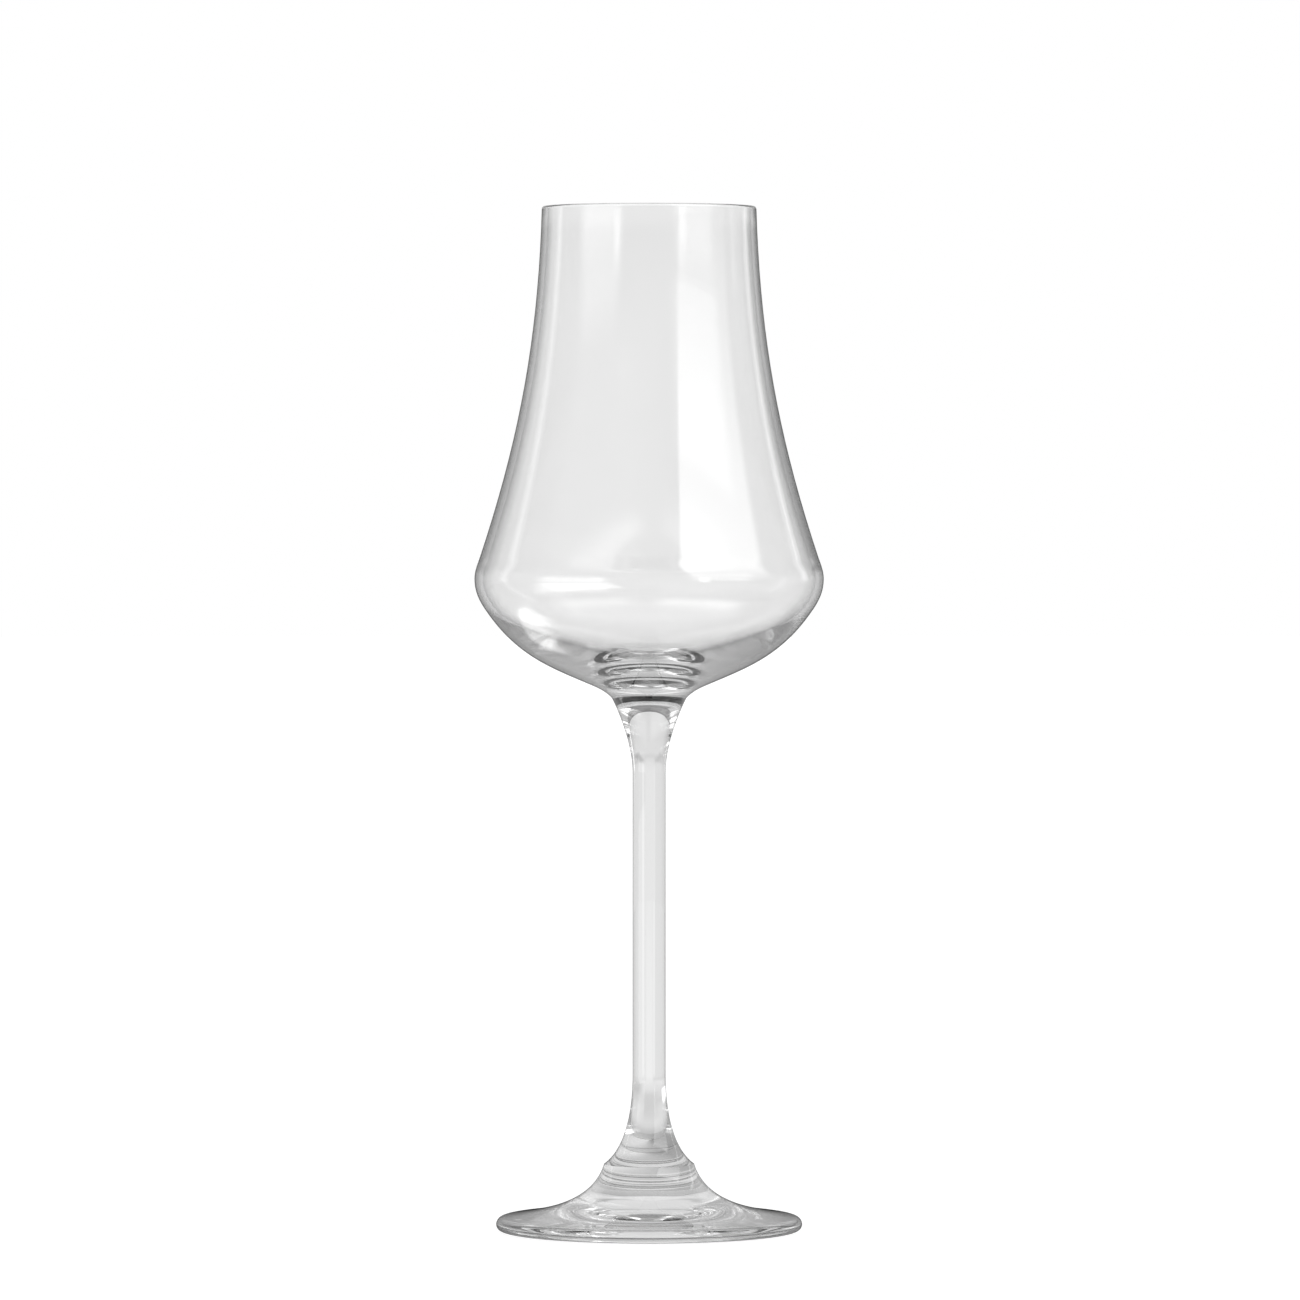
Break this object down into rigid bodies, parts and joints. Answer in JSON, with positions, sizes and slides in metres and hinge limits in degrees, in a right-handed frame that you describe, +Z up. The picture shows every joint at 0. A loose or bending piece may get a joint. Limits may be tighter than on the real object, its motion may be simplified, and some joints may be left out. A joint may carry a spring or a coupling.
{
  "type": "stemmed snifter glass",
  "caption": "Tall stemmed snifter of clear glass: a chimney-shaped bowl that flares down to a wide low belly, on a slim drawn stem and a spun round foot.",
  "frame": {"origin": "centre of the ring that the foot stands on, at table level", "axes": "+Z up along the axis of the glass; turned about it, so +X and +Y are any two directions square to it"},
  "size_m": [0.0716, 0.0716, 0.21],
  "materials": {
    "bowl_glass": "clear blown crystal glass, fire polished",
    "stem_glass": "clear drawn crystal glass, fire polished",
    "foot_glass": "clear spun crystal glass, fire polished"
  },
  "bodies": {
    "root": {"bowl": "bowl_glass", "stem": "stem_glass", "foot": "foot_glass"}
  },
  "joints": []
}
